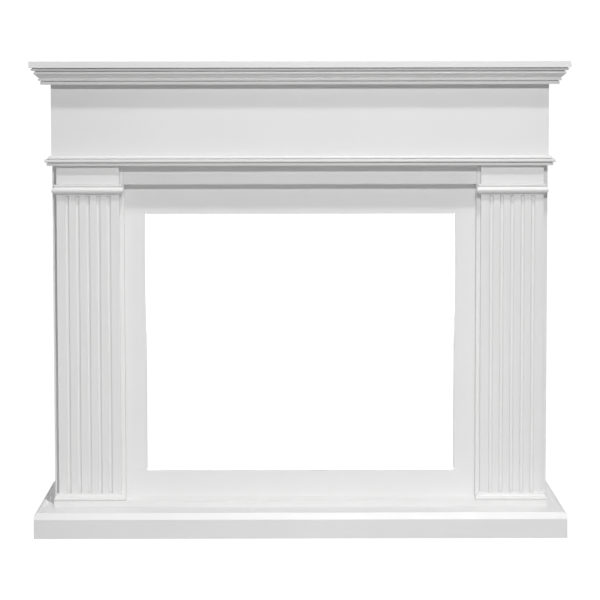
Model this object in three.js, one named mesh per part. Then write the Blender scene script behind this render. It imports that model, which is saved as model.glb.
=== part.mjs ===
// Painted fireplace mantelpiece on its own raised hearth, millimetres, +Z up.
// X runs along the wall, the front faces -Y, and the origin is under the middle of the whole work.
import * as THREE from 'three';
import { ConvexGeometry } from 'three/addons/geometries/ConvexGeometry.js';

// Overall sizes
const totalDepth = 410;
const bodyHalf = 542;
const boardThickness = 16;
const thinBoard = 14;

// Hearth, from the floor up
const hearthHalf = 578.5;
const hearthEdgeWidth = 16;
const hearthBoxHeight = 40.5;
const hearthNoseHeight = 1;
const hearthBevelRun = 12;
const hearthSideChamfer = 5.5;
const hearthTopZ = hearthBoxHeight + thinBoard;

// Plinth board, on the hearth
const plinthSetback = 71;
const plinthTopZ = hearthTopZ + thinBoard;

// Legs: a grooved pilaster, a collar and a capital block, planted on a stile
const legInner = 395;
const legOuter = 532;
const legThickness = 16;
const legSetback = 87;
const legTopZ = 805.5;
const stileInner = 386;
const stileThickness = 20;
const stileSetback = legSetback + legThickness;

const grooveCount = 5;
const grooveSpacing = 22.75;
const grooveWidth = 8;
const grooveDepth = 4;

const astragalZ = 740;
const astragalRadius = 10.5;
const astragalProjection = 10;
const astragalFillet = 3.5;
const astragalHeight = 2 * astragalRadius + astragalFillet;

const baseHeight = 15.5;
const baseProjection = 10;

// Inner frame round the firebox hole, lapped behind the stiles and the lintel
const openingHalf = 340;
const openingBottomZ = 129;
const openingTopZ = 698;
const frameLap = 40;
const frameSetback = stileSetback + stileThickness;
const lintelBottomZ = 763.5;
const lintelTopZ = 844;

// Frieze, belt moulding, crown moulding and shelf
const friezeSetback = 87;
const beltHeight = 20.5;
const crownZ = 982;
const crownHeight = 36;
const shelfZ = crownZ + crownHeight;
const shelfThickness = 14;
const shelfProjection = 43;
const shelfEase = 0.6;

// Chords in a drawn round, and the gap left between two mitred ends
const roundSteps = 10;
const smallRoundSteps = 6;
const mitreGap = 0.4;

const paint = { color: 0xebeae8, roughness: 0.5, metalness: 0 };
const primer = { color: 0xdedcd8, roughness: 0.85, metalness: 0 };

const plusX = new THREE.Vector3(1, 0, 0);
const minusX = new THREE.Vector3(-1, 0, 0);
const plusY = new THREE.Vector3(0, 1, 0);
const minusY = new THREE.Vector3(0, -1, 0);
const plusZ = new THREE.Vector3(0, 0, 1);

const mantelpiece = new THREE.Group();

// Depths are measured back from the hearth's front face
const depthToY = (depth) => depth - totalDepth / 2;

function addPiece(name, geometry, finish = paint) {
  const mesh = new THREE.Mesh(geometry, new THREE.MeshStandardMaterial(finish));
  mesh.name = name;
  mantelpiece.add(mesh);
  return mesh;
}

// A plain board, given by its ranges in X, depth and Z
function addBoard(name, [x0, x1], [depth0, depth1], [z0, z1], finish = paint) {
  const board = addPiece(name, new THREE.BoxGeometry(x1 - x0, depth1 - depth0, z1 - z0), finish);
  board.position.set((x0 + x1) / 2, depthToY((depth0 + depth1) / 2), (z0 + z1) / 2);
}

// Points of an elliptical arc, angles in degrees
function arc(centreX, centreY, radiusX, radiusY, fromDeg, toDeg, steps) {
  const points = [];
  for (let i = 0; i <= steps; i += 1) {
    const angle = THREE.MathUtils.degToRad(fromDeg + ((toDeg - fromDeg) * i) / steps);
    points.push([centreX + radiusX * Math.cos(angle), centreY + radiusY * Math.sin(angle)]);
  }
  return points;
}

const toShape = (points) => new THREE.Shape(points.map(([x, y]) => new THREE.Vector2(x, y)));

// Moulding sections: [projection from the face, height above the moulding's foot]

// Half-round collar with a thin fillet on top
const astragalSection = [
  [0, 0],
  ...arc(0, astragalRadius, astragalProjection, astragalRadius, -84, 70, roundSteps),
  [astragalFillet, 2 * astragalRadius],
  [astragalFillet, astragalHeight],
  [0, astragalHeight],
];

// Base: a square foot, an ovolo and a top fillet
const baseSection = [
  [0, 0],
  [baseProjection, 0],
  [baseProjection, 5.5],
  ...arc(3.5, 6, 5, 7, 0, 90, smallRoundSteps),
  [3, 13.5],
  [3, baseHeight],
  [0, baseHeight],
];

// Belt: a small foot, a blunt nose and a weathering that slopes back to the frieze
const beltSection = [
  [0, 0],
  [8, 0],
  [9.5, 4.5],
  [9, 6],
  [13, 7],
  [14, 10],
  [13.5, 13.5],
  [11.5, 15],
  [1, beltHeight],
  [0, beltHeight],
];

// Crown: from the bottom a fillet, a flat band, a raking splay, a small round and the top fillet
const crownSection = [
  [0, 0],
  [17.5, 0],
  [18.5, 5],
  [18, 7],
  [21.5, 8.5],
  [22, 12.5],
  [30.5, 20.5],
  ...arc(29.5, 24.5, 4, 4, -60, 60, smallRoundSteps),
  [32, 29],
  [36.5, 30],
  [40, crownHeight],
  [0, crownHeight],
];

// Extrudes a section along a straight run. A mitred end grows with each point's projection.
function mouldingGeometry(section, run, mitreStart, mitreEnd) {
  const geometry = new THREE.ExtrudeGeometry(toShape(section), { depth: run, bevelEnabled: false });
  const place = geometry.attributes.position;
  for (let i = 0; i < place.count; i += 1) {
    const atEnd = place.getZ(i) > run / 2;
    if (atEnd && mitreEnd) {
      place.setZ(i, run + place.getX(i) - mitreGap / 2);
    } else if (!atEnd && mitreStart) {
      place.setZ(i, mitreGap / 2 - place.getX(i));
    }
  }
  geometry.computeVertexNormals();
  return geometry;
}

// Lays a moulding on a face: outward is the way it projects, and it runs along outward x up
function addMoulding(name, section, start, outward, run, mitreStart, mitreEnd) {
  const along = new THREE.Vector3().crossVectors(outward, plusZ);
  const frame = new THREE.Matrix4().makeBasis(outward, plusZ, along);
  frame.setPosition(start);
  addPiece(name, mouldingGeometry(section, run, mitreStart, mitreEnd)).applyMatrix4(frame);
}

// Wraps a moulding round the front and both side faces of a block, mitred at the two corners
function wrapMoulding(names, section, [x0, x1], [frontDepth, backDepth], z) {
  const reach = backDepth - frontDepth;
  const at = (x, depth) => new THREE.Vector3(x, depthToY(depth), z);
  addMoulding(names.front, section, at(x1, frontDepth), minusY, x1 - x0, true, true);
  addMoulding(names.lowX, section, at(x0, frontDepth), minusX, reach, true, false);
  addMoulding(names.highX, section, at(x1, backDepth), plusX, reach, false, true);
}

// An end strip of the hearth top: the same bevel in front, and its outer top arris taken off
function edgeStripGeometry(outerAtStart) {
  const bevelDepthAt = (height) =>
    (hearthBevelRun * (height - hearthNoseHeight)) / (thinBoard - hearthNoseHeight);
  const corners = (across, top) => [
    [0, 0],
    [totalDepth, 0],
    [totalDepth, top],
    [bevelDepthAt(top), top],
    [0, hearthNoseHeight],
  ].map(([depth, height]) => new THREE.Vector3(depth, height, across));
  const outer = outerAtStart ? 0 : hearthEdgeWidth;
  const shoulder = outerAtStart ? hearthSideChamfer : hearthEdgeWidth - hearthSideChamfer;
  return new ConvexGeometry([
    ...corners(outer, thinBoard - hearthSideChamfer),
    ...corners(shoulder, thinBoard),
    ...corners(hearthEdgeWidth - outer, thinBoard),
  ]);
}

function buildHearth() {
  const boxHeight = [0, hearthBoxHeight];
  const sideInner = hearthHalf - boardThickness;
  const sideDepth = [boardThickness, totalDepth - boardThickness];
  const backDepth = [totalDepth - boardThickness, totalDepth];
  addBoard('hearth_front_board', [-hearthHalf, hearthHalf], [0, boardThickness], boxHeight);
  addBoard('hearth_side_left', [-hearthHalf, -sideInner], sideDepth, boxHeight);
  addBoard('hearth_side_right', [sideInner, hearthHalf], sideDepth, boxHeight);
  addBoard('hearth_back_board', [-hearthHalf, hearthHalf], backDepth, boxHeight, primer);

  // Side view of the top, as [depth, height]: a short nose, a long bevel and the flat
  const sideView = toShape([
    [0, 0],
    [totalDepth, 0],
    [totalDepth, thinBoard],
    [hearthBevelRun, thinBoard],
    [0, hearthNoseHeight],
  ]);
  const topHalf = hearthHalf - hearthEdgeWidth;
  const slab = new THREE.ExtrudeGeometry(sideView, { depth: 2 * topHalf, bevelEnabled: false });
  const layFromX = (name, geometry, x) => {
    const place = new THREE.Matrix4().makeBasis(plusY, plusZ, plusX);
    place.setPosition(x, depthToY(0), hearthBoxHeight);
    addPiece(name, geometry).applyMatrix4(place);
  };
  layFromX('hearth_top', slab, -topHalf);
  layFromX('hearth_edge_left', edgeStripGeometry(true), -hearthHalf);
  layFromX('hearth_edge_right', edgeStripGeometry(false), topHalf);
}

function buildCarcass() {
  const upright = [plinthTopZ, shelfZ];
  const stileDepth = [stileSetback, frameSetback];
  const panelDepth = [frameSetback, totalDepth];
  const panelInner = bodyHalf - boardThickness;
  addBoard('plinth_board', [-bodyHalf, bodyHalf], [plinthSetback, totalDepth], [hearthTopZ, plinthTopZ]);
  addBoard('stile_left', [-bodyHalf, -stileInner], stileDepth, upright);
  addBoard('stile_right', [stileInner, bodyHalf], stileDepth, upright);
  addBoard('lintel_rail', [-stileInner, stileInner], stileDepth, [lintelBottomZ, lintelTopZ]);
  addBoard('side_panel_left', [-bodyHalf, -panelInner], panelDepth, upright);
  addBoard('side_panel_right', [panelInner, bodyHalf], panelDepth, upright);
}

function buildInnerFrame() {
  const frameHalf = stileInner + frameLap;
  const depth = [frameSetback, frameSetback + boardThickness];
  addBoard('header_board', [-frameHalf, frameHalf], depth, [openingTopZ, lintelBottomZ + frameLap]);
  addBoard('jamb_left', [-frameHalf, -openingHalf], depth, [openingBottomZ, openingTopZ]);
  addBoard('jamb_right', [openingHalf, frameHalf], depth, [openingBottomZ, openingTopZ]);
  addBoard('sill_board', [-frameHalf, frameHalf], depth, [plinthTopZ, openingBottomZ]);
}

// Plan of a pilaster: the grooves are half-ellipses in its front, run through its whole length
function pilasterGeometry() {
  const width = legOuter - legInner;
  const firstGroove = (width - grooveSpacing * (grooveCount - 1)) / 2;
  const plan = [[0, 0], [0, legThickness], [width, legThickness], [width, 0]];
  for (let i = grooveCount - 1; i >= 0; i -= 1) {
    const centre = firstGroove + i * grooveSpacing;
    plan.push(...arc(centre, 0, grooveWidth / 2, grooveDepth, 0, 180, smallRoundSteps));
  }
  return new THREE.ExtrudeGeometry(toShape(plan), { depth: astragalZ + astragalHeight - plinthTopZ,
    bevelEnabled: false });
}

// lowX and highX say which side face of the leg has the lower and the higher X
function buildLeg(side, x0, lowX, highX) {
  const span = [x0, x0 + legOuter - legInner];
  const depth = [legSetback, stileSetback];
  const names = (piece) => ({
    front: `${piece}_${side}_front`,
    lowX: `${piece}_${side}_${lowX}`,
    highX: `${piece}_${side}_${highX}`,
  });
  addPiece(`pilaster_${side}`, pilasterGeometry()).position.set(x0, depthToY(legSetback), plinthTopZ);
  wrapMoulding(names('base'), baseSection, span, depth, plinthTopZ);
  wrapMoulding(names('astragal'), astragalSection, span, depth, astragalZ);
  addBoard(`capital_${side}`, span, depth, [astragalZ + astragalHeight, legTopZ]);
}

function buildEntablature() {
  const span = [-bodyHalf, bodyHalf];
  const friezeDepth = [friezeSetback, stileSetback];
  const sideDepth = [friezeSetback, totalDepth];
  const names = (piece) => ({
    front: `${piece}_front`,
    lowX: `${piece}_return_left`,
    highX: `${piece}_return_right`,
  });
  addBoard('frieze_board', span, friezeDepth, [legTopZ, shelfZ]);
  wrapMoulding(names('belt'), beltSection, span, sideDepth, legTopZ);
  wrapMoulding(names('crown'), crownSection, span, sideDepth, crownZ);
}

// The shelf overhangs the front and both sides, and all its edges are eased
function buildShelf() {
  const reachX = bodyHalf + shelfProjection - shelfEase;
  const frontY = depthToY(friezeSetback - shelfProjection) + shelfEase;
  const backY = depthToY(totalDepth) - shelfEase;
  const plan = toShape([[-reachX, frontY], [reachX, frontY], [reachX, backY], [-reachX, backY]]);
  const geometry = new THREE.ExtrudeGeometry(plan, {
    depth: shelfThickness - 2 * shelfEase,
    bevelEnabled: true,
    bevelSegments: 1,
    bevelSize: shelfEase,
    bevelThickness: shelfEase,
  });
  addPiece('mantel_shelf', geometry).position.set(0, 0, shelfZ + shelfEase);
}

buildShelf();
buildEntablature();
buildLeg('left', -legOuter, 'outer', 'inner');
buildLeg('right', legInner, 'inner', 'outer');
buildCarcass();
buildInnerFrame();
buildHearth();

export default mantelpiece;
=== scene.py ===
"""Painted fireplace mantelpiece on its raised hearth, in metres, +Z up.

X runs along the wall, the front faces -Y, and the returns end on the wall plane at the back.
Each piece starts as a primitive, is sawn, moulded and eased, and is then painted.
"""
import logging
import math
from dataclasses import dataclass
from enum import Enum
from typing import Callable, Sequence

import bmesh
import bpy
from mathutils import Matrix, Vector


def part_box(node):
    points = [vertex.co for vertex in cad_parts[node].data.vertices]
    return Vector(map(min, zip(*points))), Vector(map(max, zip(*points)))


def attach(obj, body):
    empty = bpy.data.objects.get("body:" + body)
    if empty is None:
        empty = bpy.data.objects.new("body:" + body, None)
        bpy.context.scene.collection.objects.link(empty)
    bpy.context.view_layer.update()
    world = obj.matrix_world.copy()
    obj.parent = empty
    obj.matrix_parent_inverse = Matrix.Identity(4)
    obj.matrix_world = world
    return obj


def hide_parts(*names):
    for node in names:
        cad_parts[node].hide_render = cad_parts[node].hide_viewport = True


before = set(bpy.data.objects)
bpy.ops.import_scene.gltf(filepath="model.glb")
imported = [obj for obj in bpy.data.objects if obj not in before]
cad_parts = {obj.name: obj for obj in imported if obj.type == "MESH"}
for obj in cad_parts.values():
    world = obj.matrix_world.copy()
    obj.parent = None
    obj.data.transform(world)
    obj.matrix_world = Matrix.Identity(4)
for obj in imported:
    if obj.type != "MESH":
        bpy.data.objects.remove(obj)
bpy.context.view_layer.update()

log = logging.getLogger("mantelpiece")

MM = 0.001
UP = Vector((0.0, 0.0, 1.0))
FRONT = Vector((0.0, -1.0, 0.0))
RIGHT = Vector((1.0, 0.0, 0.0))
BODY = "root"

# Facets that meet at less than this angle are shaded as one smooth surface
SMOOTH_ANGLE = math.radians(38.0)

# Points closer together than this, in metres, are one point
SAME_POINT = 1e-6

# A face looks a given way when its normal has more than this share that way
FACING = 0.9

# The most of a side of a section that the round at one of its corners may use
ROUND_SHARE = 0.45

# The width of the camera's sensor, in millimetres
SENSOR = 36.0

WHITE = (1.0, 1.0, 1.0, 1.0)


class Finish(Enum):
    """The finishes, by the names of the record's material slots."""

    SATIN = "satin_paint"
    PRIMER = "primer"


class Side(Enum):
    """Left or right of the middle, as the sign of X."""

    LEFT = -1
    RIGHT = 1

    @property
    def word(self) -> str:
        """The side's name in lower case."""
        return self.name.lower()


# Bench work


def clear_bench() -> None:
    """Leaves edit mode and deselects everything."""
    if bpy.context.object and bpy.context.object.mode != "OBJECT":
        bpy.ops.object.mode_set(mode="OBJECT")
    bpy.ops.object.select_all(action="DESELECT")


def take_up(piece: bpy.types.Object) -> None:
    """Makes a piece the only selected and active one."""
    clear_bench()
    piece.select_set(True)
    bpy.context.view_layer.objects.active = piece


def pick_faces(piece: bpy.types.Object, test: Callable[[bmesh.types.BMFace], bool]) -> int:
    """Selects the faces of a piece that pass a test, in edit mode.

    Args:
        piece: The mesh object.
        test: Says whether a face is wanted.

    Returns:
        How many faces are selected.
    """
    take_up(piece)
    bpy.ops.object.mode_set(mode="EDIT")
    bpy.ops.mesh.select_mode(type="FACE")
    mesh = bmesh.from_edit_mesh(piece.data)
    mesh.normal_update()
    for face in mesh.faces:
        face.select_set(bool(test(face)))
    mesh.select_flush_mode()
    bmesh.update_edit_mesh(piece.data)
    return sum(face.select for face in mesh.faces)


def pick_edges(piece: bpy.types.Object, test: Callable[[bmesh.types.BMEdge], bool]) -> int:
    """Selects the edges of a piece that pass a test, in edit mode.

    Args:
        piece: The mesh object.
        test: Says whether an edge is wanted.

    Returns:
        How many edges are selected.
    """
    take_up(piece)
    bpy.ops.object.mode_set(mode="EDIT")
    bpy.ops.mesh.select_mode(type="EDGE")
    bpy.ops.mesh.select_all(action="DESELECT")
    mesh = bmesh.from_edit_mesh(piece.data)
    mesh.normal_update()
    for edge in mesh.edges:
        if test(edge):
            edge.select_set(True)
    bmesh.update_edit_mesh(piece.data)
    return sum(edge.select for edge in mesh.edges)


def is_arris(edge: bmesh.types.BMEdge) -> bool:
    """True for an edge where two faces meet at more than the smooth angle."""
    return len(edge.link_faces) == 2 and edge.calc_face_angle() > SMOOTH_ANGLE


def ease_arrises(
    piece: bpy.types.Object,
    width: float,
    steps: int = 3,
    test: Callable[[bmesh.types.BMEdge], bool] = is_arris,
) -> None:
    """Rounds the chosen edges of a piece.

    Args:
        piece: The mesh object.
        width: How far the round reaches along each face, in metres.
        steps: Chords in the round.
        test: Says which edges are rounded.
    """
    if pick_edges(piece, test):
        bpy.ops.mesh.bevel(
            offset=width, segments=steps, profile=0.5, affect="EDGES", clamp_overlap=True
        )
    clear_bench()


def saw(piece: bpy.types.Object, point: Vector, away: Vector) -> None:
    """Cuts a piece by a plane and closes the cut.

    Args:
        piece: The mesh object.
        point: A point on the plane.
        away: The plane's normal, towards the part that falls off.
    """
    take_up(piece)
    bpy.ops.object.mode_set(mode="EDIT")
    bpy.ops.mesh.select_all(action="SELECT")
    bpy.ops.mesh.bisect(
        plane_co=point,
        plane_no=away.normalized(),
        use_fill=True,
        clear_outer=True,
        threshold=SAME_POINT,
    )
    clear_bench()


def cut_board(name: str, low: Sequence[float], high: Sequence[float]) -> bpy.types.Object:
    """Makes a square-edged board.

    Args:
        name: The object's name.
        low: Its lowest corner.
        high: Its highest corner.

    Returns:
        The new board, with its place in its mesh.
    """
    clear_bench()
    low, high = Vector(low), Vector(high)
    bpy.ops.mesh.primitive_cube_add(size=1.0, location=(low + high) / 2.0, scale=high - low)
    board = bpy.context.object
    board.name = board.data.name = name
    bpy.ops.object.transform_apply(location=True, rotation=True, scale=True)
    return board


def draw_run(name: str, outline: Sequence[Vector], travel: Vector) -> bpy.types.Object:
    """Draws a closed outline and extrudes it in a straight line.

    Args:
        name: The object's name.
        outline: The outline's corners in order, in the row frame.
        travel: How far and which way it is extruded.

    Returns:
        The new solid, with its place in its mesh.
    """
    clear_bench()
    bpy.ops.mesh.primitive_circle_add(vertices=len(outline), radius=MM, fill_type="NGON")
    run = bpy.context.object
    run.name = run.data.name = name
    for vertex, corner in zip(run.data.vertices, outline):
        vertex.co = corner
    bpy.ops.object.mode_set(mode="EDIT")
    bpy.ops.mesh.select_all(action="SELECT")
    bpy.ops.mesh.extrude_region_move(TRANSFORM_OT_translate={"value": travel})
    bpy.ops.mesh.select_all(action="SELECT")
    bpy.ops.mesh.remove_doubles(threshold=SAME_POINT)
    bpy.ops.mesh.normals_make_consistent(inside=False)
    clear_bench()
    return run


# Sections of the mouldings


@dataclass(frozen=True)
class Corner:
    """A corner of a moulding's section, in millimetres.

    Attributes:
        out: Projection from the face that the moulding lies on.
        up: Height above the moulding's foot.
        ease: Radius that rounds the corner.
    """

    out: float
    up: float
    ease: float = 0.0


def sweep(
    centre: tuple[float, float], radii: tuple[float, float], turn: tuple[float, float], steps: int
) -> list[Corner]:
    """Gives the points of an elliptical arc.

    Args:
        centre: The ellipse's centre, in millimetres.
        radii: Its half axes.
        turn: The first and last angle, in degrees.
        steps: Chords in the arc.

    Returns:
        The points, with no easing.
    """
    points = []
    for i in range(steps + 1):
        angle = math.radians(turn[0] + (turn[1] - turn[0]) * i / steps)
        points.append(
            Corner(centre[0] + radii[0] * math.cos(angle), centre[1] + radii[1] * math.sin(angle))
        )
    return points


def ease_outline(corners: Sequence[Corner], steps: int = 4) -> list[Vector]:
    """Rounds the corners of a closed outline.

    Args:
        corners: The corners in order.
        steps: Chords in each round.

    Returns:
        The rounded outline, as 2-D points in millimetres.
    """
    points = []
    for i, corner in enumerate(corners):
        here = Vector((corner.out, corner.up))
        if corner.ease <= 0.0:
            points.append(here)
            continue
        before, after = corners[i - 1], corners[(i + 1) % len(corners)]
        back = Vector((before.out, before.up)) - here
        ahead = Vector((after.out, after.up)) - here
        half = back.angle(ahead) / 2.0
        room = ROUND_SHARE * min(back.length, ahead.length)
        reach = min(corner.ease / math.tan(half), room)
        radius = reach * math.tan(half)
        inward = (back.normalized() + ahead.normalized()).normalized()
        centre = here + inward * (radius / math.sin(half))
        first = here + back.normalized() * reach - centre
        last = here + ahead.normalized() * reach - centre
        turn = first.angle_signed(last)
        for k in range(steps + 1):
            points.append(centre + Matrix.Rotation(-turn * k / steps, 2) @ first)
    return points


# Crown, from the bottom: fillet, flat band, raking splay, small round and top fillet, each set
# off by a narrow quirk
CROWN = (
    Corner(0.0, 0.0),
    Corner(20.0, 0.0, 0.4),
    Corner(20.8, 6.0, 0.4),
    Corner(18.4, 7.0, 0.2),
    Corner(18.4, 8.0, 0.2),
    Corner(24.0, 8.2, 0.4),
    Corner(24.8, 13.0, 0.4),
    Corner(22.4, 14.0, 0.2),
    Corner(30.8, 20.6, 0.2),
    Corner(28.6, 21.2, 0.2),
    *sweep((29.8, 24.8), (4.0, 3.4), (-80.0, 70.0), 12),
    Corner(30.0, 28.4, 0.2),
    Corner(30.0, 29.6, 0.2),
    Corner(36.6, 29.8, 0.4),
    Corner(40.0, 33.6, 0.4),
    Corner(36.0, 34.4, 0.2),
    Corner(36.0, 36.0),
    Corner(0.0, 36.0),
)

# Belt, from the bottom: a small foot, a quirk, a blunt nose, a deeper quirk, and a fillet with a
# sloping top
BELT = (
    Corner(0.0, 0.0),
    Corner(9.2, 0.0, 0.4),
    Corner(10.0, 5.4, 0.4),
    Corner(7.6, 6.2, 0.2),
    Corner(7.6, 7.4, 0.2),
    Corner(13.2, 7.6, 0.5),
    Corner(14.3, 9.6, 1.0),
    Corner(14.1, 13.6, 0.4),
    Corner(4.4, 14.0, 0.2),
    Corner(4.4, 15.6, 0.2),
    Corner(7.4, 15.8, 0.2),
    Corner(7.0, 19.4, 0.4),
    Corner(1.2, 20.4, 0.2),
    Corner(0.0, 20.5),
)

# Collar: a half-round under a thin fillet, with a quirk between
ASTRAGAL = (
    Corner(0.0, 0.0),
    Corner(0.3, 0.0),
    Corner(0.3, 3.4),
    *sweep((0.0, 11.6), (10.0, 8.1), (-84.0, 64.0), 24),
    Corner(3.0, 19.2, 0.2),
    Corner(3.0, 20.0, 0.2),
    Corner(5.0, 20.2, 0.3),
    Corner(5.0, 24.0, 0.4),
    Corner(0.0, 24.5),
)

# Base: a square foot, an ovolo and a top fillet
BASE = (
    Corner(0.0, 0.0),
    Corner(8.2, 0.0),
    Corner(8.2, 0.9, 0.2),
    Corner(10.0, 1.0, 0.2),
    Corner(10.0, 5.2, 0.7),
    *sweep((3.6, 6.0), (5.0, 6.4), (2.0, 88.0), 12),
    Corner(3.0, 12.6, 0.3),
    Corner(3.0, 15.5, 0.6),
    Corner(0.0, 15.5),
)


# Finishes


class NodeBoard:
    """Adds and joins the shader nodes of one material or world."""

    def __init__(self, tree: bpy.types.NodeTree) -> None:
        """Empties the tree."""
        self.tree = tree
        tree.nodes.clear()

    def add(self, kind: str, values: dict | None = None, **settings: object) -> bpy.types.Node:
        """Adds a node.

        Args:
            kind: The node's type name.
            values: What its input sockets are set to.
            **settings: Its other settings.

        Returns:
            The new node.
        """
        node = self.tree.nodes.new(kind)
        for name, value in settings.items():
            setattr(node, name, value)
        for name, value in (values or {}).items():
            node.inputs[name].default_value = value
        return node

    def join(self, source: bpy.types.NodeSocket, target: bpy.types.NodeSocket) -> None:
        """Links two sockets."""
        self.tree.links.new(source, target)


@dataclass(frozen=True)
class Paint:
    """A sprayed coat with a faint drift of tone, a fine orange peel and a varying sheen.

    Attributes:
        name: The material's name.
        light: The coat's colour where it is thickest.
        thin: Its colour where it is thinnest.
        drift: How many drifts of tone there are to a metre.
        sheen: Lowest and highest roughness.
        peel: How many bumps of the orange peel there are to a metre.
        peel_depth: The bumps' depth in metres.
    """

    name: str
    light: tuple[float, float, float]
    thin: tuple[float, float, float]
    drift: float
    sheen: tuple[float, float]
    peel: float
    peel_depth: float

    def mix(self) -> bpy.types.Material:
        """Makes the material.

        Returns:
            The new material.
        """
        material = bpy.data.materials.new(self.name)
        material.use_nodes = True
        board = NodeBoard(material.node_tree)
        out = board.add("ShaderNodeOutputMaterial")
        shader = board.add("ShaderNodeBsdfPrincipled", {"Metallic": 0.0, "IOR": 1.47})
        place = board.add("ShaderNodeTexCoord")
        clouds = board.add(
            "ShaderNodeTexNoise", {"Scale": self.drift, "Detail": 3.0, "Roughness": 0.55}
        )
        patches = board.add("ShaderNodeTexNoise", {"Scale": self.drift * 9.0, "Detail": 4.0})
        grain = board.add(
            "ShaderNodeTexNoise", {"Scale": self.peel, "Detail": 1.5, "Roughness": 0.4}
        )
        for noise in (clouds, patches, grain):
            board.join(place.outputs["Object"], noise.inputs["Vector"])
        spread = board.add("ShaderNodeMapRange", {"From Min": 0.32, "From Max": 0.68})
        board.join(clouds.outputs["Fac"], spread.inputs["Value"])
        tone = board.add("ShaderNodeMix", data_type="RGBA")
        tone.inputs["A"].default_value = (*self.thin, 1.0)
        tone.inputs["B"].default_value = (*self.light, 1.0)
        board.join(spread.outputs["Result"], tone.inputs["Factor"])
        gloss = board.add(
            "ShaderNodeMapRange",
            {"From Min": 0.3, "From Max": 0.7, "To Min": self.sheen[0], "To Max": self.sheen[1]},
        )
        board.join(patches.outputs["Fac"], gloss.inputs["Value"])
        bump = board.add("ShaderNodeBump", {"Strength": 0.35, "Distance": self.peel_depth})
        board.join(grain.outputs["Fac"], bump.inputs["Height"])
        board.join(tone.outputs["Result"], shader.inputs["Base Color"])
        board.join(gloss.outputs["Result"], shader.inputs["Roughness"])
        board.join(bump.outputs["Normal"], shader.inputs["Normal"])
        board.join(shader.outputs["BSDF"], out.inputs["Surface"])
        return material


SATIN_PAINT = Paint(
    name="satin_paint",
    light=(0.845, 0.84, 0.84),
    thin=(0.815, 0.809, 0.809),
    drift=2.3,
    sheen=(0.36, 0.46),
    peel=420.0,
    peel_depth=0.00012,
)
PRIMER_COAT = Paint(
    name="primer",
    light=(0.76, 0.75, 0.73),
    thin=(0.72, 0.708, 0.685),
    drift=7.0,
    sheen=(0.78, 0.9),
    peel=900.0,
    peel_depth=0.0002,
)


class Paintshop:
    """Holds the mixed finishes, paints each piece and sets it over its solid."""

    def __init__(self) -> None:
        """Mixes the two coats."""
        self.coats = {Finish.SATIN: SATIN_PAINT.mix(), Finish.PRIMER: PRIMER_COAT.mix()}

    def deliver(
        self,
        piece: bpy.types.Object,
        node: str,
        finish: Finish = Finish.SATIN,
        bare: Callable[[bmesh.types.BMFace], bool] | None = None,
    ) -> bpy.types.Object:
        """Paints a finished piece and sets it over the node that it stands for.

        Args:
            piece: The mesh object.
            node: The node it replaces.
            finish: The coat on what shows.
            bare: Says which faces are only primed.

        Returns:
            The same object.
        """
        take_up(piece)
        piece.data.materials.clear()
        piece.data.materials.append(self.coats[finish])
        if bare is not None:
            piece.data.materials.append(self.coats[Finish.PRIMER])
            if pick_faces(piece, bare):
                piece.active_material_index = 1
                bpy.ops.object.material_slot_assign()
            take_up(piece)
        bpy.ops.object.shade_smooth_by_angle(angle=SMOOTH_ANGLE, keep_sharp_edges=False)
        even = piece.modifiers.new("even_shading", "WEIGHTED_NORMAL")
        even.mode = "FACE_AREA"
        even.weight = 90
        even.keep_sharp = True
        bpy.ops.object.modifier_apply(modifier=even.name)
        clear_bench()
        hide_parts(node)
        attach(piece, BODY)
        log.info("%s: %d faces", piece.name, len(piece.data.polygons))
        return piece


def faces_back(face: bmesh.types.BMFace) -> bool:
    """True for a face that looks at the wall."""
    return face.normal.y > FACING


# Parts of the work


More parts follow.
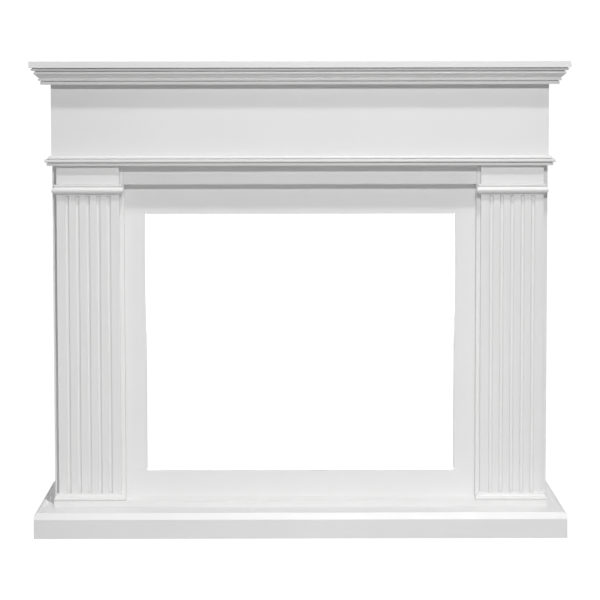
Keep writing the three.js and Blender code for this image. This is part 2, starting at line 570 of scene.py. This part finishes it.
@dataclass
class Joinery:
    """What every sub-assembly shares.

    Attributes:
        shop: Where its pieces are painted.
        arris: How far the edges of its boards are eased.
        gap: How far a mitre stays off the corner's middle.
    """

    shop: Paintshop
    arris: float = 0.8 * MM
    gap: float = 0.1 * MM

    def board(
        self,
        node: str,
        arris: float | None = None,
        finish: Finish = Finish.SATIN,
        bare: Callable[[bmesh.types.BMFace], bool] | None = faces_back,
    ) -> bpy.types.Object:
        """Makes an eased board over a node.

        Args:
            node: The node whose box it fills.
            arris: How far its edges are eased, or None for the usual.
            finish: The coat on what shows.
            bare: Says which faces are only primed.

        Returns:
            The finished board.
        """
        low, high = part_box(node)
        board = cut_board(f"{node}_board", low, high)
        ease_arrises(board, self.arris if arris is None else arris)
        return self.shop.deliver(board, node, finish, bare)

    def moulding(
        self,
        node: str,
        section: Sequence[Corner],
        foot: Vector,
        outward: Vector,
        length: float,
        mitres: tuple[bool, bool],
    ) -> bpy.types.Object:
        """Runs a moulding along a face and saws its mitres.

        Args:
            node: The node that it stands for.
            section: The moulding's section.
            foot: Where its foot starts, on the face.
            outward: The way it projects.
            length: Its length along outward x up, measured on the face.
            mitres: Whether its start and its end are mitred round an outer corner.

        Returns:
            The finished moulding.
        """
        along = outward.cross(UP)
        reach = max(corner.out for corner in section) * MM + MM
        start = foot - along * (reach if mitres[0] else 0.0)
        travel = along * (length + reach * sum(mitres))
        outline = [start + outward * (p.x * MM) + UP * (p.y * MM) for p in ease_outline(section)]
        run = draw_run(f"{node}_run", outline, travel)
        if mitres[0]:
            saw(run, foot + along * self.gap, -(along + outward))
        if mitres[1]:
            saw(run, foot + along * (length - self.gap), along - outward)
        return self.shop.deliver(run, node)

    def wrap(
        self,
        nodes: tuple[str, str, str],
        section: Sequence[Corner],
        span: tuple[float, float],
        depth: tuple[float, float],
        height: float,
    ) -> None:
        """Wraps a moulding round the front and both sides of a block.

        Args:
            nodes: The nodes at the front, on the low-X side and on the high-X side.
            section: The moulding's section.
            span: The block's lowest and highest X.
            depth: The Y of the block's front and of the moulding's back end.
            height: The Z of the moulding's foot.
        """
        front, low, high = nodes
        wide = span[1] - span[0]
        deep = depth[1] - depth[0]
        high_front = Vector((span[1], depth[0], height))
        low_front = Vector((span[0], depth[0], height))
        high_back = Vector((span[1], depth[1], height))
        self.moulding(front, section, high_front, FRONT, wide, (True, True))
        self.moulding(low, section, low_front, -RIGHT, deep, (True, False))
        self.moulding(high, section, high_back, RIGHT, deep, (False, True))


@dataclass
class Top(Joinery):
    """The shelf, the crown under it, the frieze and the belt.

    Attributes:
        shelf_ease: Radius of the shelf's edges.
    """

    shelf_ease: float = 0.6 * MM

    def build(self) -> None:
        """Makes the top's pieces."""
        self.board("mantel_shelf", arris=self.shelf_ease)
        self.board("frieze_board")
        low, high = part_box("frieze_board")
        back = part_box("side_panel_left")[1].y
        crown_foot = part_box("crown_front")[0].z
        belt_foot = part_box("belt_front")[0].z
        for name, section, foot in (("crown", CROWN, crown_foot), ("belt", BELT, belt_foot)):
            nodes = (f"{name}_front", f"{name}_return_left", f"{name}_return_right")
            self.wrap(nodes, section, (low.x, high.x), (low.y, back), foot)


@dataclass
class Leg(Joinery):
    """A grooved pilaster with its base, collar and capital, its own sizes in millimetres.

    Attributes:
        side: Which leg it is.
        grooves: How many grooves there are.
        spacing: From one groove's middle to the next.
        width: A groove's width.
        depth: A groove's depth.
        lip: Radius of a groove's edges.
        flare: How much wider a groove is at the face, on each side.
        shoulder: The share of a groove's depth above its round bottom.
        sweep_ends: The first and last angle of the round bottom, in degrees.
        corner: How far the leg's own edges are eased.
    """

    side: Side = Side.LEFT
    grooves: int = 5
    spacing: float = 22.75
    width: float = 8.0
    depth: float = 4.0
    lip: float = 0.6
    flare: float = 0.35
    shoulder: float = 0.1
    sweep_ends: tuple[float, float] = (8.0, 172.0)
    corner: float = 0.9

    def plan(self, wide: float, thick: float) -> list[Corner]:
        """Draws the pilaster's plan, in millimetres.

        Args:
            wide: Its width.
            thick: Its thickness.

        Returns:
            The corners, from the front left corner round the back to the grooves.
        """
        corners = [
            Corner(0.0, 0.0, self.corner),
            Corner(0.0, thick),
            Corner(wide, thick),
            Corner(wide, 0.0, self.corner),
        ]
        first = (wide - self.spacing * (self.grooves - 1)) / 2.0
        half = self.width / 2.0
        start = self.depth * self.shoulder
        radii = (half, self.depth * (1.0 - self.shoulder))
        for i in reversed(range(self.grooves)):
            middle = first + i * self.spacing
            corners.append(Corner(middle + half + self.flare, 0.0, self.lip))
            corners.extend(sweep((middle, start), radii, self.sweep_ends, 16))
            corners.append(Corner(middle - half - self.flare, 0.0, self.lip))
        return corners

    def pilaster(self) -> None:
        """Runs the grooved board from the plinth to the capital."""
        node = f"pilaster_{self.side.word}"
        low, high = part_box(node)
        size = (high - low) / MM
        plan = ease_outline(self.plan(size.x, size.y))
        outline = [low + RIGHT * (p.x * MM) - FRONT * (p.y * MM) for p in plan]
        board = draw_run(f"{node}_board", outline, UP * (high.z - low.z))
        self.shop.deliver(board, node, bare=faces_back)

    def build(self) -> None:
        """Makes the leg's pieces."""
        word = self.side.word
        self.pilaster()
        self.board(f"capital_{word}", arris=self.corner * MM)
        low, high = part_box(f"pilaster_{word}")
        near, far = ("outer", "inner") if self.side is Side.LEFT else ("inner", "outer")
        for name, section in (("base", BASE), ("astragal", ASTRAGAL)):
            nodes = (f"{name}_{word}_front", f"{name}_{word}_{near}", f"{name}_{word}_{far}")
            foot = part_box(nodes[0])[0].z
            self.wrap(nodes, section, (low.x, high.x), (low.y, high.y), foot)


@dataclass
class Carcass(Joinery):
    """The boards behind the legs and the inner frame round the firebox hole.

    Attributes:
        backing_arris: How far the edges of the stiles and the lintel are eased.
        frame_arris: How far those of the inner frame are eased.
        plinth_arris: How far those of the plinth are eased.
    """

    backing_arris: float = 1.1 * MM
    frame_arris: float = 0.7 * MM
    plinth_arris: float = 1.0 * MM

    def build(self) -> None:
        """Makes the carcass boards."""
        for node in ("stile_left", "stile_right", "lintel_rail"):
            self.board(node, arris=self.backing_arris)
        for node in ("header_board", "jamb_left", "jamb_right", "sill_board"):
            self.board(node, arris=self.frame_arris)
        self.board("plinth_board", arris=self.plinth_arris)
        for side in Side:
            inward = -side.value

            def looks_in(face: bmesh.types.BMFace, inward: int = inward) -> bool:
                """True for a face inside the carcass or at its back."""
                return face.normal.x * inward > FACING or faces_back(face)

            self.board(f"side_panel_{side.word}", bare=looks_in)


@dataclass
class Hearth(Joinery):
    """The raised hearth: a box, a top with a bevelled front and two edge strips.

    Attributes:
        bevel_run: How far back the bevel reaches.
        nose: Height of the upright strip below the bevel.
        chamfer: How much of each end's upper edge is taken off.
    """

    bevel_run: float = 12.0 * MM
    nose: float = 1.0 * MM
    chamfer: float = 5.5 * MM

    def top_board(self, node: str) -> bpy.types.Object:
        """Makes a board with the hearth's bevel along its front.

        Args:
            node: The node whose box it fills.

        Returns:
            The board, not yet eased.
        """
        low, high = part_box(node)
        board = cut_board(f"{node}_board", low, high)
        foot = low.z + self.nose
        saw(board, Vector((0.0, low.y, foot)), Vector((0.0, foot - high.z, self.bevel_run)))
        return board

    def build(self) -> None:
        """Makes the hearth's pieces."""
        top = self.top_board("hearth_top")
        ease_arrises(top, self.arris)
        self.shop.deliver(top, "hearth_top", bare=faces_back)
        for side in Side:
            node = f"hearth_edge_{side.word}"
            strip = self.top_board(node)
            low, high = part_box(node)
            outer = high.x if side is Side.RIGHT else low.x
            saw(strip, Vector((outer, 0.0, high.z - self.chamfer)), Vector((side.value, 0.0, 1.0)))
            ease_arrises(strip, self.arris)
            self.shop.deliver(strip, node, bare=faces_back)
        for node in ("hearth_front_board", "hearth_side_left", "hearth_side_right"):
            self.board(node)
        self.board("hearth_back_board", finish=Finish.PRIMER, bare=None)


# Studio


@dataclass(frozen=True)
class Lamp:
    """A studio lamp aimed at a point.

    Attributes:
        name: The lamp's name.
        place: Where it hangs.
        aim: What it is aimed at.
        power: Its power in watts.
        width: Its width or diameter in metres.
        height: Its height in metres, or None for a round lamp.
    """

    name: str
    place: tuple[float, float, float]
    aim: tuple[float, float, float]
    power: float
    width: float
    height: float | None = None

    def hang(self) -> None:
        """Adds the lamp."""
        clear_bench()
        bpy.ops.object.light_add(type="AREA", location=self.place)
        lamp = bpy.context.object
        lamp.name = lamp.data.name = self.name
        lamp.data.shape = "DISK"
        lamp.data.size = self.width
        if self.height is not None:
            lamp.data.shape = "RECTANGLE"
            lamp.data.size_y = self.height
        lamp.data.energy = self.power
        way = Vector(self.aim) - Vector(self.place)
        lamp.rotation_euler = way.to_track_quat("-Z", "Y").to_euler()


@dataclass
class Studio:
    """A pale floor, a white surround, soft lamps and the camera.

    Attributes:
        lamps: The lamps.
        fill: Brightness of the surround as the pieces see it.
        painted_pool_near: How pale the floor is close to the work, the bright middle of a painted
            pool of light.
        painted_pool_far: How pale it is further off, where the painted pool of light fades to
            painted shade.
        eye: The camera's place.
        pitch: How far it looks down, in degrees.
        yaw: How far it is turned to the left, in degrees.
        roll: How far it leans, in degrees.
        lens: Its focal length for a 36 mm sensor.
        shift: How far the lens is shifted down, as a share of the frame.
        white: Brightness of the surround and the floor as the camera sees them.
        floor_size: The floor's width.
        painted_pool_fade: Where the painted pool of light on the floor starts and ends getting
            darker, in metres from the middle.
        floor_drop: How far the floor lies below the work, so that the two don't flicker.
    """

    lamps: tuple[Lamp, ...] = (
        Lamp("front_lamp", (0.4, -2.4, 2.08), (0.0, -0.1, 0.6), 31.0, 0.15),
        Lamp("high_lamp", (0.4, -2.3, 5.4), (0.0, -0.1, 0.6), 117.0, 0.3),
        Lamp("low_lamp", (0.0, -1.25, 0.16), (0.0, -0.1, 0.0), 3.0, 2.0, 0.2),
        Lamp("left_lamp", (-2.6, -1.9, 0.9), (-0.5, -0.1, 0.5), 2.6, 1.2),
        Lamp("back_lamp", (0.0, 3.4, 0.45), (0.0, 0.1, 0.5), 70.0, 1.4, 0.6),
        Lamp("right_side_lamp", (3.0, 1.1, 0.4), (0.5, 0.0, 0.5), 21.0, 1.2, 0.5),
        Lamp("left_side_lamp", (-3.0, 1.1, 0.4), (-0.5, 0.0, 0.5), 24.0, 1.2, 0.5),
    )
    fill: float = 0.19
    painted_pool_near: float = 0.41
    painted_pool_far: float = 0.08
    eye: tuple[float, float, float] = (-0.0196, -5.0217, 1.0113)
    pitch: float = 4.3
    yaw: float = -0.224
    roll: float = -0.08
    lens: float = 135.0
    shift: float = -0.1
    white: float = 1.05
    floor_size: float = 16.0
    painted_pool_fade: tuple[float, float] = (1.0, 2.4)
    floor_drop: float = 0.5 * MM

    def surround(self) -> None:
        """Makes the world plain white to look at and a soft fill to be lit by."""
        world = bpy.data.worlds.new("surround")
        bpy.context.scene.world = world
        world.use_nodes = True
        board = NodeBoard(world.node_tree)
        out = board.add("ShaderNodeOutputWorld")
        seen = board.add("ShaderNodeBackground", {"Color": WHITE, "Strength": self.white})
        felt = board.add("ShaderNodeBackground", {"Color": WHITE, "Strength": self.fill})
        mix = board.add("ShaderNodeMixShader")
        path = board.add("ShaderNodeLightPath")
        board.join(path.outputs["Is Camera Ray"], mix.inputs["Fac"])
        board.join(felt.outputs["Background"], mix.inputs[1])
        board.join(seen.outputs["Background"], mix.inputs[2])
        board.join(mix.outputs["Shader"], out.inputs["Surface"])

    def floor(self) -> None:
        """Lays a pale floor that looks as white as the surround to the camera. For the lamps'
        bounce its colour is a painted pool of light, paler near the work and darker further off.
        """
        clear_bench()
        bpy.ops.mesh.primitive_plane_add(
            size=self.floor_size, location=(0.0, 0.0, -self.floor_drop)
        )
        floor = bpy.context.object
        floor.name = floor.data.name = "studio_floor"
        material = bpy.data.materials.new("pale_floor")
        material.use_nodes = True
        board = NodeBoard(material.node_tree)
        out = board.add("ShaderNodeOutputMaterial")
        pale = board.add("ShaderNodeBsdfDiffuse")
        place = board.add("ShaderNodeTexCoord")
        reach = board.add("ShaderNodeVectorMath", operation="LENGTH")
        # Painted pool of light: the floor's colour is paler near the work and darker further off,
        # standing in for how the lamps' light falls off across it
        shade = board.add(
            "ShaderNodeMapRange",
            {
                "From Min": self.painted_pool_fade[0],
                "From Max": self.painted_pool_fade[1],
                "To Min": self.painted_pool_near,
                "To Max": self.painted_pool_far,
            },
        )
        board.join(place.outputs["Object"], reach.inputs["Vector"])
        board.join(reach.outputs["Value"], shade.inputs["Value"])
        board.join(shade.outputs["Result"], pale.inputs["Color"])
        white = board.add("ShaderNodeEmission", {"Color": WHITE, "Strength": self.white})
        mix = board.add("ShaderNodeMixShader")
        path = board.add("ShaderNodeLightPath")
        board.join(path.outputs["Is Camera Ray"], mix.inputs["Fac"])
        board.join(pale.outputs["BSDF"], mix.inputs[1])
        board.join(white.outputs["Emission"], mix.inputs[2])
        board.join(mix.outputs["Shader"], out.inputs["Surface"])
        floor.data.materials.append(material)

    def camera(self) -> None:
        """Sets up the camera."""
        clear_bench()
        bpy.ops.object.camera_add()
        camera = bpy.context.object
        camera.name = camera.data.name = "camera"
        camera.data.sensor_width = SENSOR
        camera.data.lens = self.lens
        camera.data.shift_y = self.shift
        camera.matrix_world = (
            Matrix.Translation(self.eye)
            @ Matrix.Rotation(math.radians(self.yaw), 4, "Z")
            @ Matrix.Rotation(math.radians(90.0 - self.pitch), 4, "X")
            @ Matrix.Rotation(math.radians(self.roll), 4, "Z")
        )
        bpy.context.scene.camera = camera

    def build(self) -> None:
        """Sets up the whole studio."""
        self.surround()
        self.floor()
        for lamp in self.lamps:
            lamp.hang()
        self.camera()
        view = bpy.context.scene.view_settings
        view.view_transform = "Standard"
        view.look = "None"


def main() -> None:
    """Builds the studio and every part of the mantelpiece."""
    logging.basicConfig(level=logging.INFO, format="%(message)s")
    Studio().build()
    shop = Paintshop()
    Top(shop).build()
    for side in Side:
        Leg(shop, side=side).build()
    Carcass(shop).build()
    Hearth(shop).build()


if __name__ == "__main__":
    main()
